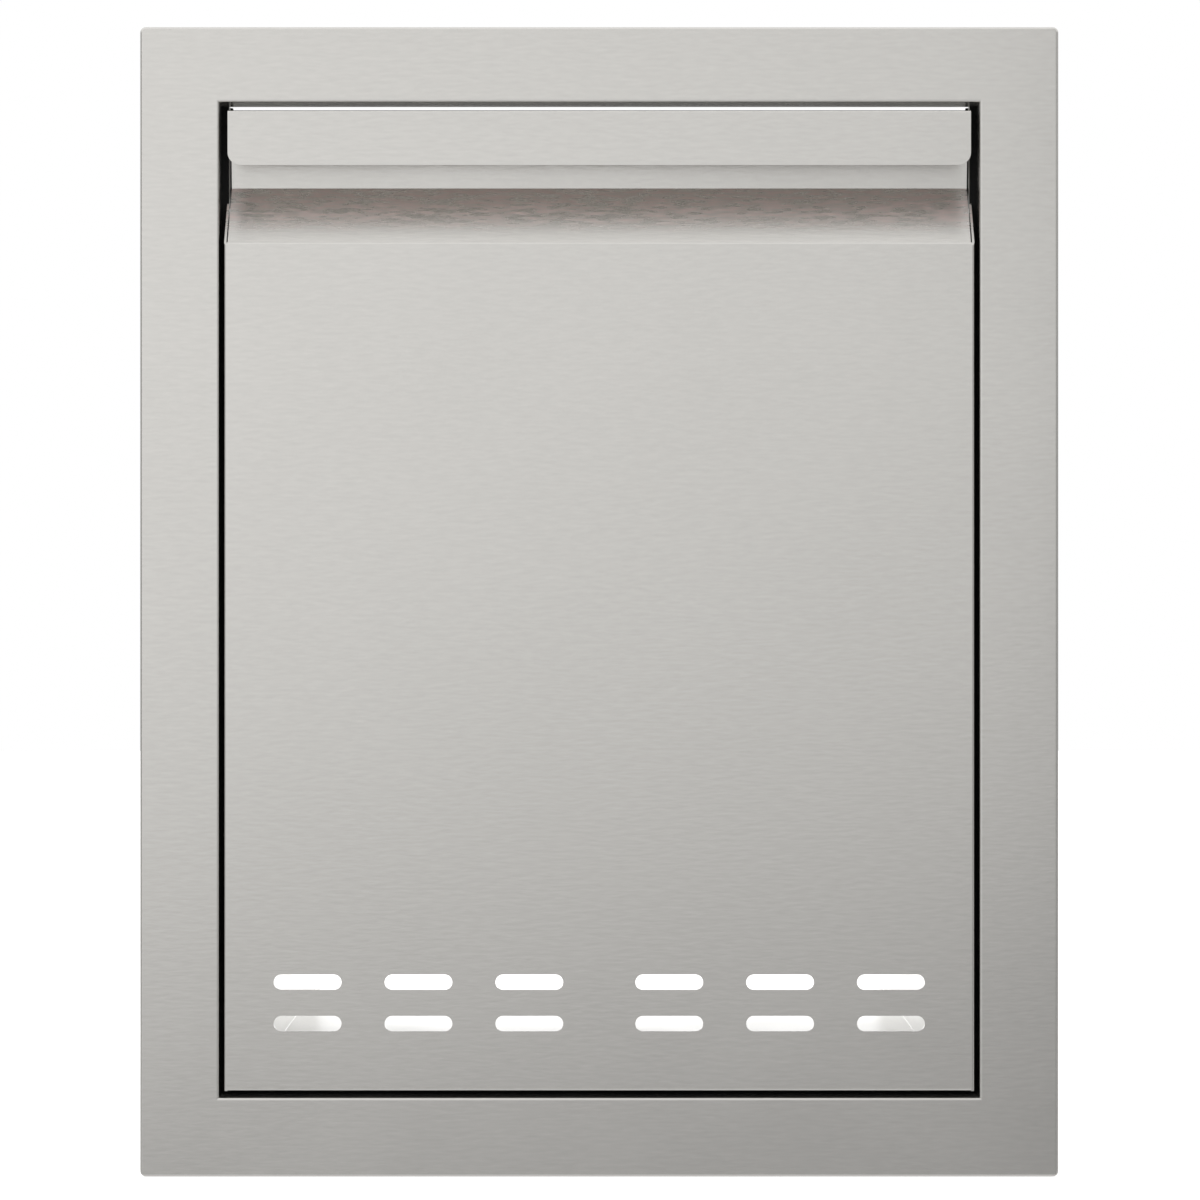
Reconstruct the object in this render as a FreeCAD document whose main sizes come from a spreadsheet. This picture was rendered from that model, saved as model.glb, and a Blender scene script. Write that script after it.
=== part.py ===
import FreeCAD, Part
import math
import os
import re
import Sketcher

# Built-in pull-out drawer for an outdoor kitchen, folded from stainless sheet.
# Millimetres. X runs to the right, Y into the island, Z up. The origin is the centre of the face
# frame, in the plane of the island's face, where the frame's outer return bears on it.

SIZES = {
    # face frame
    "frame_width": 508.0,
    "frame_height": 636.0,
    "flange_width": 43.7,
    "top_flange": 41.5,
    "flange_stand": 8.0,
    "inner_return": 22.0,
    "frame_bend": 1.5,
    "frame_corner": 3.0,
    "sheet_gauge": 1.2,
    # drawer front and its folded pull
    "side_gap": 2.7,
    "top_gap": 4.5,
    "bottom_gap": 3.7,
    "bend_radius": 1.5,
    "side_bend": 1.3,
    "lip_height": 30.4,
    "lip_corner": 7.0,
    "pull_mouth": 43.5,
    "recess_depth": 25.2,
    "slope_rise": 33.2,
    "wall_lean": 5.0,
    "corner_seam": 0.8,
    # vent slots
    "slot_length": 37.5,
    "slot_width": 8.6,
    "slot_first": 38.7,
    "slot_pitch": 61.3,
    "slot_row_pitch": 22.9,
    "slot_lift": 37.3,
    # liner behind the front
    "liner_gap": 0.2,
    "liner_flange": 8.0,
    "window_margin": 6.0,
    # closing seal
    "seal_thickness": 3.0,
    "seal_clearance": 0.3,
    "seal_inset": 0.5,
    "end_seal_thickness": 1.1,
    "end_seal_width": 4.0,
    # housing
    "stop_width": 3.9,
    "floor_rise": 6.3,
    "floor_flange": 12.0,
    "rear_margin": 12.0,
    "tie_bar_depth": 26.0,
    "tie_bar_height": 20.0,
    "tie_bar_drop": 12.0,
    "mount_hole": 5.2,
    "mount_inset_y": 60.0,
    "mount_inset_z": 94.3,
    # tray, rail and gussets
    "tray_clearance": 4.0,
    "tray_wall": 95.0,
    "tray_front_flange": 18.0,
    "tray_hem": 10.0,
    "tray_setback": 8.0,
    "rail_depth": 18.0,
    "rail_height": 14.0,
    "rail_drop": 8.0,
    "rail_inset": 6.0,
    "gusset_clearance": 2.0,
    "gusset_reach": 180.0,
    "gusset_heel": 60.0,
    "gusset_height": 304.0,
    "gusset_flange": 22.0,
    "gusset_lap_gap": 4.0,
    "gusset_nose": 34.0,
    # telescopic slides
    "slide_length": 500.0,
    "slide_travel": 500.0,
    "slide_start": 18.0,
    "slide_height": 45.6,
    "slide_thickness": 12.7,
    "slide_lift": 36.0,
    "member_web": 1.2,
    "race_flange": 1.5,
    "middle_flange": 1.8,
    "flange_reach": 9.8,
    "middle_reach": 7.8,
    "member_bend": 1.5,
    "middle_setback": 4.0,
    "middle_rear_gap": 28.0,
    "drawer_member_rear_gap": 18.0,
    "ball_diameter": 3.2,
    "ball_clearance": 0.1,
    "groove_depth": 0.5,
    "outer_row": 6.0,
    "inner_row": 7.4,
    "retainer_gauge": 0.6,
    "retainer_gap": 0.4,
    "retainer_length": 208.0,
    "retainer_margin": 8.0,
    "retainer_reach": 2.3,
    "pocket_clearance": 0.15,
    "balls_per_row": 3.0,
    "ball_inset": 14.0,
    "buffer_length": 13.0,
    "buffer_width": 7.0,
    "buffer_height": 28.0,
    "buffer_clearance": 0.4,
    # fasteners
    "screw_diameter": 4.0,
    "screw_first": 40.0,
    "screw_last": 60.0,
    "screw_proud": 3.0,
    "hole_clearance": 0.15,
    # release levers
    "lever_length": 56.0,
    "lever_width": 8.0,
    "lever_tip": 5.0,
    "lever_thickness": 2.4,
    "lever_gap": 0.6,
    "lever_setback": 292.0,
    "lever_pin": 4.0,
    "lever_bore_clearance": 0.25,
    "lever_head": 6.4,
    "lever_head_height": 0.9,
}

SIDES = {"left": -1, "right": 1}

# Named places, as formulas of the sizes above.
HALF_W = "(frame_width / 2)"
HALF_H = "(frame_height / 2)"
FRONT = "(-flange_stand)"
FRONT_BACK = "(sheet_gauge - flange_stand)"
OPEN_X = "(frame_width / 2 - flange_width)"
OPEN_Z = "(frame_height / 2 - flange_width)"
OPEN_TOP = "(frame_height / 2 - top_flange)"
RETURN_X = f"({OPEN_X} + sheet_gauge)"
RETURN_Z = f"({OPEN_Z} + sheet_gauge)"
RETURN_TOP = f"({OPEN_TOP} + sheet_gauge)"
RETURN_BACK = "(inner_return - flange_stand)"

PANEL_X = f"({OPEN_X} - side_gap)"
PANEL_LOW = f"(bottom_gap - {OPEN_Z})"
PANEL_BACK = f"({RETURN_BACK} - seal_thickness - seal_clearance)"
STRIP_X = f"({PANEL_X} - sheet_gauge - corner_seam)"
PULL_TOP = f"({OPEN_TOP} - top_gap)"
LIP_LOW = f"({PULL_TOP} - lip_height)"
PANEL_TOP = f"({LIP_LOW} - pull_mouth)"
SLOPE_TOP = f"({PANEL_TOP} + slope_rise)"
WALL_FRONT = f"({FRONT} + recess_depth)"
TAN_SLOPE = "(slope_rise / recess_depth)"
TAN_LEAN = f"(wall_lean / ({PULL_TOP} - {SLOPE_TOP}))"
SLOPE_DROP = f"(sheet_gauge * sqrt(1 + {TAN_SLOPE}^2))"
SLOPE_SHIFT = f"({SLOPE_DROP} - sheet_gauge * {TAN_SLOPE})"
WALL_SHIFT = f"(sheet_gauge * sqrt(1 + {TAN_LEAN}^2))"
FOLD_RUN = f"(({WALL_SHIFT} + {TAN_LEAN} * {SLOPE_DROP}) / (1 + {TAN_LEAN} * {TAN_SLOPE}))"
WALL_BACK = f"({WALL_FRONT} + {FOLD_RUN})"
SIDE_TOP = f"({PANEL_TOP} - bend_radius / 2)"

HOUSING_X = f"({OPEN_X} - stop_width)"
HOUSING_BACK = "(slide_start + slide_length + rear_margin)"
FLOOR_TOP = f"(floor_rise - {OPEN_Z})"
FLANGE_BACK = f"({RETURN_BACK} + sheet_gauge)"

TRAY_X = f"({HOUSING_X} - slide_thickness)"
TRAY_IN = f"({TRAY_X} - sheet_gauge)"
TRAY_LOW = f"({FLOOR_TOP} + tray_clearance)"
TRAY_BACK = "(slide_start + slide_length - tray_setback)"
TRAY_FRONT = PANEL_BACK
LAP_BACK = f"({PANEL_BACK} + sheet_gauge)"
GUSSET_LOW = f"({TRAY_LOW} + tray_front_flange + gusset_clearance)"
GUSSET_TOP = f"({GUSSET_LOW} + gusset_height)"
GUSSET_X = f"({TRAY_IN} - sheet_gauge)"

SLIDE_Z = f"({TRAY_LOW} + slide_lift)"
SLIDE_BACK = "(slide_start + slide_length)"
RACE_R = "(ball_diameter / 2 + ball_clearance)"
OUTER_FACE = "(slide_height / 2 - race_flange)"
OUTER_BALL = f"({OUTER_FACE} + groove_depth - {RACE_R})"
MIDDLE_FACE = f"({OUTER_BALL} - {RACE_R} + groove_depth)"
MIDDLE_UNDER = f"({MIDDLE_FACE} - middle_flange)"
INNER_BALL = f"({MIDDLE_UNDER} + groove_depth - {RACE_R})"
INNER_FACE = f"({INNER_BALL} - {RACE_R} + groove_depth)"
OUTER_CAGE_U = "(member_web + retainer_gap)"
MIDDLE_U = f"({OUTER_CAGE_U} + retainer_gauge + retainer_gap)"
INNER_CAGE_U = f"({MIDDLE_U} + member_web + retainer_gap)"
INNER_TIP_U = f"({INNER_CAGE_U} + retainer_gauge + retainer_gap)"
DRAWER_WEB_U = "(slide_thickness - member_web)"
MIDDLE_START = "(slide_start + middle_setback)"
MIDDLE_BACK = f"({SLIDE_BACK} - middle_rear_gap)"
DRAWER_MEMBER_BACK = f"({SLIDE_BACK} - drawer_member_rear_gap)"
OUTER_CAGE_Y = "(slide_start + slide_travel / 4 + retainer_margin)"
INNER_CAGE_Y = f"({MIDDLE_START} + slide_travel / 4 + retainer_margin)"
BALL_PITCH = "((retainer_length - 2 * ball_inset) / (balls_per_row - 1))"
SCREW_Y = "(slide_start + screw_first)"
SCREW_PITCH = "(slide_length - screw_first - screw_last)"
SCREW_HOLE = "(screw_diameter / 2 + hole_clearance)"
VENT_LOW = f"({PANEL_LOW} + slot_lift - slot_width / 2)"
VENT_TOP = f"({PANEL_LOW} + slot_lift + slot_row_pitch + slot_width / 2)"
LAP_LOW = f"({VENT_TOP} + window_margin + gusset_lap_gap)"
LEVER_Y = "(slide_start + lever_setback)"
LEVER_U = f"({DRAWER_WEB_U} - lever_gap - lever_thickness)"
LEVER_HEAD_U = f"({LEVER_U} - lever_gap / 2)"

SLOT_COLUMNS = 3
SLOT_ROWS = 2

# How near counts as the same place, and the least volume that a cut must take away.
NEAR = 0.01
LEAST_CUT = 0.01

doc = FreeCAD.newDocument("multifunction_drawer")
sheet = doc.addObject("Spreadsheet::Sheet", "sizes")
parts = []


def fill_sheet():
    """One row per driving dimension: its name and its plain number, under an alias of that name."""
    for row, (name, number) in enumerate(SIZES.items(), start=1):
        sheet.set(f"A{row}", name.replace("_", " "))
        sheet.set(f"B{row}", str(number))
        sheet.setAlias(f"B{row}", name)
    doc.recompute()


def link(formula):
    """The formula with each size pointing at its cell."""
    return re.sub(r"[a-z_]+", lambda m: f"sizes.{m[0]}" if m[0] in SIZES else m[0], formula)


def number(formula):
    """What the formula comes to now."""
    return float(sheet.evalExpression(link(formula)))


def new_body(label):
    """An empty body that becomes one node."""
    body = doc.addObject("PartDesign::Body", label)
    body.Label = label
    parts.append(body)
    return body


def origin(body, role):
    """One of the body's own origin planes or axes."""
    return next(item for item in body.Origin.OriginFeatures if item.Role == role)


def new_sketch(body, name, plane, shift=("0", "0", "0")):
    """A sketch on an origin plane, moved by formulas along its own x, y and normal."""
    sketch = body.newObject("Sketcher::SketchObject", name)
    sketch.AttachmentSupport = [(origin(body, f"{plane}_Plane"), "")]
    sketch.MapMode = "FlatFace"
    for axis, formula in zip("xyz", shift):
        sketch.setExpression(f"AttachmentOffset.Base.{axis}", link(formula))
    return sketch


def bind(sketch, kind, item, point, formula):
    """Hold one point's distance from the sketch origin to a formula."""
    row = sketch.addConstraint(Sketcher.Constraint(kind, -1, 1, item, point, number(formula)))
    sketch.setExpression(f"Constraints[{row}]", link(formula))


def draw_polygon(sketch, corners):
    """A closed straight-sided outline; each corner is a pair of formulas."""
    spots = [FreeCAD.Vector(number(a), number(b), 0) for a, b in corners]
    first = sketch.GeometryCount
    count = len(spots)
    for i, spot in enumerate(spots):
        sketch.addGeometry(Part.LineSegment(spot, spots[(i + 1) % count]), False)
    for i, (a, b) in enumerate(corners):
        following = first + (i + 1) % count
        sketch.addConstraint(Sketcher.Constraint("Coincident", first + i, 2, following, 1))
        bind(sketch, "DistanceX", first + i, 1, a)
        bind(sketch, "DistanceY", first + i, 1, b)


def draw_circle(sketch, centre, radius):
    """A circle whose centre and radius are formulas."""
    spot = FreeCAD.Vector(number(centre[0]), number(centre[1]), 0)
    up = FreeCAD.Vector(0, 0, 1)
    item = sketch.addGeometry(Part.Circle(spot, up, number(radius)), False)
    bind(sketch, "DistanceX", item, 3, centre[0])
    bind(sketch, "DistanceY", item, 3, centre[1])
    row = sketch.addConstraint(Sketcher.Constraint("Radius", item, number(radius)))
    sketch.setExpression(f"Constraints[{row}]", link(radius))


def draw_slot(sketch, centre, length, width):
    """A level slot with fully round ends, as two arcs and two tangent lines."""
    x, z = number(centre[0]), number(centre[1])
    half, radius = number(f"({length} - {width}) / 2"), number(f"{width} / 2")
    up = FreeCAD.Vector(0, 0, 1)
    quarter = math.pi / 2
    right = Part.Circle(FreeCAD.Vector(x + half, z, 0), up, radius)
    left = Part.Circle(FreeCAD.Vector(x - half, z, 0), up, radius)
    a = sketch.addGeometry(Part.ArcOfCircle(right, -quarter, quarter), False)
    b = sketch.addGeometry(Part.ArcOfCircle(left, quarter, 3 * quarter), False)
    top = Part.LineSegment(FreeCAD.Vector(x + half, z + radius, 0), FreeCAD.Vector(x - half, z + radius, 0))
    low = Part.LineSegment(FreeCAD.Vector(x - half, z - radius, 0), FreeCAD.Vector(x + half, z - radius, 0))
    c = sketch.addGeometry(top, False)
    d = sketch.addGeometry(low, False)
    for first, second in (((a, 2), (c, 1)), ((c, 2), (b, 1)), ((b, 2), (d, 1)), ((d, 2), (a, 1))):
        sketch.addConstraint(Sketcher.Constraint("Tangent", *first, *second))
    sketch.addConstraint(Sketcher.Constraint("Equal", a, b))
    for item, sign in ((a, "+"), (b, "-")):
        bind(sketch, "DistanceX", item, 3, f"{centre[0]} {sign} ({length} - {width}) / 2")
        bind(sketch, "DistanceY", item, 3, centre[1])
    row = sketch.addConstraint(Sketcher.Constraint("Radius", a, radius))
    sketch.setExpression(f"Constraints[{row}]", link(f"{width} / 2"))


def draw(sketch, shapes):
    """Draw each shape: a list of corners, a (centre, radius) circle or a (centre, length, width) slot."""
    for shape in shapes:
        if isinstance(shape, list):
            draw_polygon(sketch, shape)
        elif len(shape) == 2:
            draw_circle(sketch, *shape)
        else:
            draw_slot(sketch, *shape)


def rectangle(x0, x1, z0, z1):
    """Corners of an upright rectangle."""
    return [(x0, z0), (x1, z0), (x1, z1), (x0, z1)]


def centred(half_x, half_z):
    """Corners of a rectangle about the origin."""
    return rectangle(f"-{half_x}", half_x, f"-{half_z}", half_z)


def settle(body, feature):
    """Recompute, and stop at a feature that fails."""
    doc.recompute()
    if "Invalid" in feature.State or "Error" in feature.State:
        raise RuntimeError(f"{body.Label}: {feature.Name}: {feature.getStatusString()}")
    return feature


def pad(body, name, plane, shapes, start, end):
    """Material between two places along the plane's axis; the XZ plane's own normal points to -Y."""
    place = f"-({end})" if plane == "XZ" else start
    sketch = new_sketch(body, f"{name}_outline", plane, ("0", "0", place))
    draw(sketch, shapes)
    feature = body.newObject("PartDesign::Pad", name)
    feature.Profile = sketch
    feature.setExpression("Length", link(f"({end}) - ({start})"))
    return settle(body, feature)


def cut(body, name, plane, shapes, start, end):
    """Material taken away between two places along the plane's axis."""
    before = body.Shape.Volume
    place = f"-({start})" if plane == "XZ" else end
    sketch = new_sketch(body, f"{name}_outline", plane, ("0", "0", place))
    draw(sketch, shapes)
    feature = body.newObject("PartDesign::Pocket", name)
    feature.Profile = sketch
    feature.setExpression("Length", link(f"({end}) - ({start})"))
    settle(body, feature)
    if body.Shape.Volume > before - LEAST_CUT:
        raise RuntimeError(f"{body.Label}: {name} cuts nothing")
    return feature


def turn(body, name, plane, shift, outline):
    """A solid of revolution: corners of (along, radius) about the shifted sketch's own x axis."""
    sketch = new_sketch(body, f"{name}_profile", plane, shift)
    draw_polygon(sketch, outline)
    feature = body.newObject("PartDesign::Revolution", name)
    feature.Profile = sketch
    feature.ReferenceAxis = (sketch, ["H_Axis"])
    feature.Angle = 360
    return settle(body, feature)


def row_of(body, axis, length, count):
    """A linear pattern step for repeat()."""
    step = body.newObject("PartDesign::LinearPattern", "row")
    step.Direction = (origin(body, f"{axis}_Axis"), [""])
    step.setExpression("Length", link(length))
    if isinstance(count, str):
        step.setExpression("Occurrences", link(count))
    else:
        step.Occurrences = count
    return step


def mirror_of(body, plane):
    """A mirror step for repeat()."""
    step = body.newObject("PartDesign::Mirrored", "mirror")
    step.MirrorPlane = (origin(body, f"{plane}_Plane"), [""])
    return step


def repeat(body, name, features, steps):
    """Repeat features by the steps in turn, each a pattern or a mirror of what came before."""
    feature = body.newObject("PartDesign::MultiTransform", name)
    feature.Originals = features
    feature.Transformations = steps
    body.Tip = feature
    return settle(body, feature)


def edges_where(body, test):
    """Names of the body's edges whose two end points and middle all pass the test."""
    names = []
    for i, edge in enumerate(body.Shape.Edges, start=1):
        middle = edge.valueAt((edge.FirstParameter + edge.LastParameter) / 2)
        spots = [middle] + [corner.Point for corner in edge.Vertexes]
        if all(test(spot) for spot in spots):
            names.append(f"Edge{i}")
    return names


def edges_at(body, **places):
    """Names of the edges that lie at these places."""
    wanted = {axis: number(formula) for axis, formula in places.items()}

    def test(spot):
        here = {"x": abs(spot.x), "y": spot.y, "z": spot.z}
        return all(abs(here[axis] - place) < NEAR for axis, place in wanted.items())

    return edges_where(body, test)


def fillet(body, name, edges, radius):
    """Round the named edges."""
    if not edges:
        raise RuntimeError(f"{body.Label}: {name} finds no edge")
    base = body.Tip
    feature = body.newObject("PartDesign::Fillet", name)
    feature.Base = (base, edges)
    feature.setExpression("Radius", link(radius))
    return settle(body, feature)


def bend(body, name, outside, inside, radius="bend_radius"):
    """A fold in the sheet: the radius on its outside and the radius less the gauge on its inside."""
    fillet(body, f"{name}_outside", edges_at(body, **outside), radius)
    fillet(body, f"{name}_inside", edges_at(body, **inside), f"{radius} - sheet_gauge")


def across(side, distance):
    """A place on the given side, measured out from the middle."""
    return f"({side} * {distance})"


def from_wall(side, depth):
    """A place on the given side, measured in from the housing side's inner face."""
    return f"({side} * ({HOUSING_X} - {depth}))"


def span(side, near, far):
    """Low and high ends of a stretch along X on the given side, near being nearer the middle."""
    if side > 0:
        return near, far
    return f"-{far}", f"-{near}"


def slide_span(side, depth_0, depth_1):
    """Low and high ends along X of a stretch between two depths from the housing side."""
    return span(side, f"({HOUSING_X} - {depth_1})", f"({HOUSING_X} - {depth_0})")


def face_frame():
    """Folded trim frame: outer return, face and inner return round the opening."""
    body = new_body("face_frame")
    opening = rectangle(f"-{OPEN_X}", OPEN_X, f"-{OPEN_Z}", OPEN_TOP)
    sleeve = rectangle(f"-{RETURN_X}", RETURN_X, f"-{RETURN_Z}", RETURN_TOP)
    pad(body, "flange", "XZ", [centred(HALF_W, HALF_H)], FRONT, "0")
    pad(body, "opening_return", "XZ", [sleeve], FRONT_BACK, RETURN_BACK)
    cut(body, "opening", "XZ", [opening], FRONT, RETURN_BACK)
    inside = centred(f"({HALF_W} - sheet_gauge)", f"({HALF_H} - sheet_gauge)")
    cut(body, "hollow", "XZ", [inside, sleeve], FRONT_BACK, "0")
    half_h = number(HALF_H)
    outer = [name for name in edges_where(body, lambda p: abs(abs(p.z) - half_h) < NEAR)
             if name in edges_at(body, x=HALF_W)]
    fillet(body, "outer_corners", outer, "frame_corner")
    split_x, split_z = number(f"{OPEN_X} + flange_width / 2"), number(f"{OPEN_Z} + flange_width / 2")
    front = number(FRONT)

    def on_face(spot):
        return abs(spot.y - front) < NEAR

    def inner(spot):
        return abs(spot.x) < split_x and abs(spot.z) < split_z

    rim = edges_where(body, lambda p: on_face(p) and not inner(p))
    fillet(body, "rim", rim, "frame_bend")
    mouth = edges_where(body, lambda p: on_face(p) and inner(p))
    fillet(body, "mouth", mouth, "frame_bend")


def front_panel():
    """The drawer front and its pull, folded from one sheet."""
    body = new_body("front_panel")
    low_in = f"({PANEL_LOW} + sheet_gauge)"
    top_in = f"({PULL_TOP} - sheet_gauge)"
    wall_in = f"({WALL_FRONT} - ({top_in} - {SLOPE_TOP}) * {TAN_LEAN})"
    wall_out = f"({WALL_FRONT} + {WALL_SHIFT} - wall_lean)"
    fold_z = f"({SLOPE_TOP} + {FOLD_RUN} * {TAN_SLOPE} - {SLOPE_DROP})"
    section = [
        (PANEL_BACK, PANEL_LOW),
        (FRONT, PANEL_LOW),
        (FRONT, PANEL_TOP),
        (WALL_FRONT, SLOPE_TOP),
        (wall_in, top_in),
        (FRONT_BACK, top_in),
        (FRONT_BACK, LIP_LOW),
        (FRONT, LIP_LOW),
        (FRONT, PULL_TOP),
        (wall_out, PULL_TOP),
        (WALL_BACK, fold_z),
        (FRONT_BACK, f"({PANEL_TOP} - {SLOPE_SHIFT})"),
        (FRONT_BACK, low_in),
        (PANEL_BACK, low_in),
    ]
    pad(body, "folded_strip", "YZ", [section], f"-{STRIP_X}", STRIP_X)
    bend(body, "bottom_fold", {"y": FRONT, "z": PANEL_LOW}, {"y": FRONT_BACK, "z": low_in})
    bend(body, "recess_fold", {"y": FRONT, "z": PANEL_TOP},
         {"y": FRONT_BACK, "z": f"{PANEL_TOP} - {SLOPE_SHIFT}"})
    bend(body, "back_fold", {"y": WALL_BACK, "z": fold_z}, {"y": WALL_FRONT, "z": SLOPE_TOP})
    bend(body, "rear_top_fold", {"y": wall_out, "z": PULL_TOP}, {"y": wall_in, "z": top_in})
    bend(body, "lip_fold", {"y": FRONT, "z": PULL_TOP}, {"y": FRONT_BACK, "z": top_in})
    fillet(body, "lip_corners", edges_at(body, x=STRIP_X, z=LIP_LOW), "lip_corner")
    high = f"({SIDE_TOP} + ({PANEL_BACK} - {FRONT}) * {TAN_SLOPE})"
    side_in = f"({PANEL_X} - sheet_gauge)"
    wings = [rectangle(*span(side, STRIP_X, PANEL_X), PANEL_LOW, high) for side in SIDES.values()]
    pad(body, "wings", "XZ", wings, FRONT, FRONT_BACK)
    returns = [rectangle(*span(side, side_in, PANEL_X), PANEL_LOW, high) for side in SIDES.values()]
    pad(body, "side_returns", "XZ", returns, FRONT, PANEL_BACK)
    bend(body, "side_fold", {"x": PANEL_X, "y": FRONT}, {"x": side_in, "y": FRONT_BACK}, "side_bend")
    for name, side in SIDES.items():
        slant = [(FRONT, SIDE_TOP), (PANEL_BACK, high), (FRONT, high)]
        cut(body, f"{name}_slant", "YZ", [slant], *span(side, STRIP_X, PANEL_X))
    slot_z = f"({PANEL_LOW} + slot_lift)"
    first_slot = (("slot_first", slot_z), "slot_length", "slot_width")
    slot = cut(body, "vent", "XZ", [first_slot], FRONT, FRONT_BACK)
    steps = [row_of(body, "X", f"slot_pitch * {SLOT_COLUMNS - 1}", SLOT_COLUMNS),
             row_of(body, "Z", f"slot_row_pitch * {SLOT_ROWS - 1}", SLOT_ROWS),
             mirror_of(body, "YZ")]
    repeat(body, "vents", [slot], steps)


def front_liner():
    """Inner sheet of the hollow front: flanges, windows behind the vents, an upstand behind the slope."""
    body = new_body("front_liner")
    half = f"({PANEL_X} - sheet_gauge - liner_gap)"
    low = f"({PANEL_LOW} + sheet_gauge + liner_gap)"
    face = f"({PANEL_BACK} - sheet_gauge)"
    lead = f"({PANEL_BACK} - liner_flange)"
    pad(body, "flanges", "XZ", [rectangle(f"-{half}", half, low, PANEL_TOP)], lead, PANEL_BACK)
    hollow = rectangle(f"(sheet_gauge - {half})", f"({half} - sheet_gauge)", f"({low} + sheet_gauge)",
                       f"({PANEL_TOP} - sheet_gauge)")
    cut(body, "hollow", "XZ", [hollow], lead, face)
    fillet(body, "side_folds", edges_at(body, x=half, y=PANEL_BACK), "frame_bend")
    under_slope = f"({SLOPE_TOP} + ({face} - {WALL_FRONT}) * {TAN_SLOPE} - {SLOPE_DROP} - liner_gap)"
    pad(body, "upstand", "XZ", [rectangle(f"-{half}", half, PANEL_TOP, under_slope)], face, PANEL_BACK)
    row_low = f"({VENT_LOW} - window_margin)"
    row_top = f"({VENT_TOP} + window_margin)"
    near = "(slot_first - slot_length / 2 - window_margin)"
    far = f"(slot_first + slot_pitch * {SLOT_COLUMNS - 1} + slot_length / 2 + window_margin)"
    windows = [rectangle(near, far, row_low, row_top), rectangle(f"-{far}", f"-{near}", row_low, row_top)]
    cut(body, "windows", "XZ", windows, face, PANEL_BACK)


def closing_seal():
    """Black strip up both sides and along the bottom of the stop; short strips close the pull's two ends."""
    body = new_body("closing_seal")
    in_x = f"({HOUSING_X} + seal_inset)"
    in_z = f"({FLOOR_TOP} - seal_inset)"
    low = f"(-{OPEN_Z})"
    outline = [
        (f"-{OPEN_X}", OPEN_TOP), (f"-{OPEN_X}", low), (OPEN_X, low), (OPEN_X, OPEN_TOP),
        (in_x, OPEN_TOP), (in_x, in_z), (f"-{in_x}", in_z), (f"-{in_x}", OPEN_TOP),
    ]
    pad(body, "strip", "XZ", [outline], f"{RETURN_BACK} - seal_thickness", RETURN_BACK)
    inner = f"({HOUSING_X} - end_seal_thickness)"
    ends = [rectangle(*span(side, inner, HOUSING_X), PANEL_TOP, OPEN_TOP) for side in SIDES.values()]
    start = f"({WALL_BACK} + seal_clearance)"
    pad(body, "pull_ends", "XZ", ends, start, f"{start} + end_seal_width")


def housing_side(label, side):
    """Side of the housing: web, a stop flange welded behind the frame's return, and a rear flange."""
    body = new_body(label)
    web_out = f"({HOUSING_X} + sheet_gauge)"
    rear = f"({HOUSING_BACK} - sheet_gauge)"
    section = [
        (RETURN_X, RETURN_BACK), (HOUSING_X, RETURN_BACK), (HOUSING_X, HOUSING_BACK),
        (RETURN_X, HOUSING_BACK), (RETURN_X, rear), (web_out, rear), (web_out, FLANGE_BACK),
        (RETURN_X, FLANGE_BACK),
    ]
    placed = [(across(side, x), y) for x, y in section]
    pad(body, "side", "XY", [placed], f"{FLOOR_TOP} - sheet_gauge", OPEN_TOP)
    fillet(body, "stop_fold", edges_at(body, x=HOUSING_X, y=RETURN_BACK), "frame_bend")
    fillet(body, "rear_fold", edges_at(body, x=HOUSING_X, y=HOUSING_BACK), "frame_bend")
    web = span(side, HOUSING_X, web_out)
    hole = cut(body, "slide_hole", "YZ", [((SCREW_Y, SLIDE_Z), SCREW_HOLE)], *web)
    repeat(body, "slide_holes", [hole], [row_of(body, "Y", SCREW_PITCH, 2)])
    half_z = f"({OPEN_Z} - mount_inset_z)"
    spot = ("mount_inset_y", f"(-{half_z})")
    hole = cut(body, "mount", "YZ", [(spot, "mount_hole / 2")], *web)
    steps = [row_of(body, "Y", f"({HOUSING_BACK} - 2 * mount_inset_y)", 2),
             row_of(body, "Z", f"(2 * {half_z})", 2)]
    repeat(body, "mounts", [hole], steps)


def housing_floor():
    """Floor pan: web, a stop flange welded behind the frame's return, and upturned sides."""
    body = new_body("housing_floor")
    under = f"({FLOOR_TOP} - sheet_gauge)"
    section = [
        (HOUSING_BACK, FLOOR_TOP), (RETURN_BACK, FLOOR_TOP), (RETURN_BACK, f"(-{RETURN_Z})"),
        (FLANGE_BACK, f"(-{RETURN_Z})"), (FLANGE_BACK, under), (HOUSING_BACK, under),
    ]
    pad(body, "floor", "YZ", [section], f"-{HOUSING_X}", HOUSING_X)
    fillet(body, "stop_fold", edges_at(body, y=RETURN_BACK, z=FLOOR_TOP), "frame_bend")
    top = f"({FLOOR_TOP} + floor_flange)"
    inner = f"({HOUSING_X} - sheet_gauge)"
    flanges = [rectangle(inner, HOUSING_X, under, top), rectangle(f"-{HOUSING_X}", f"-{inner}", under, top)]
    pad(body, "side_flanges", "XZ", flanges, "slide_start", HOUSING_BACK)


def channel_bar(label, half, back, depth, top, height):
    """A bar folded to an upturned channel, running across from side to side."""
    body = new_body(label)
    front = f"({back} - {depth})"
    low, under = f"({top} - {height})", f"({top} - sheet_gauge)"
    front_in, back_in = f"({front} + sheet_gauge)", f"({back} - sheet_gauge)"
    section = [
        (front, low), (front, top), (back, top), (back, low),
        (back_in, low), (back_in, under), (front_in, under), (front_in, low),
    ]
    pad(body, "bar", "YZ", [section], f"-{half}", half)
    bend(body, "front_fold", {"y": front, "z": top}, {"y": front_in, "z": under})
    bend(body, "back_fold", {"y": back, "z": top}, {"y": back_in, "z": under})


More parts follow.
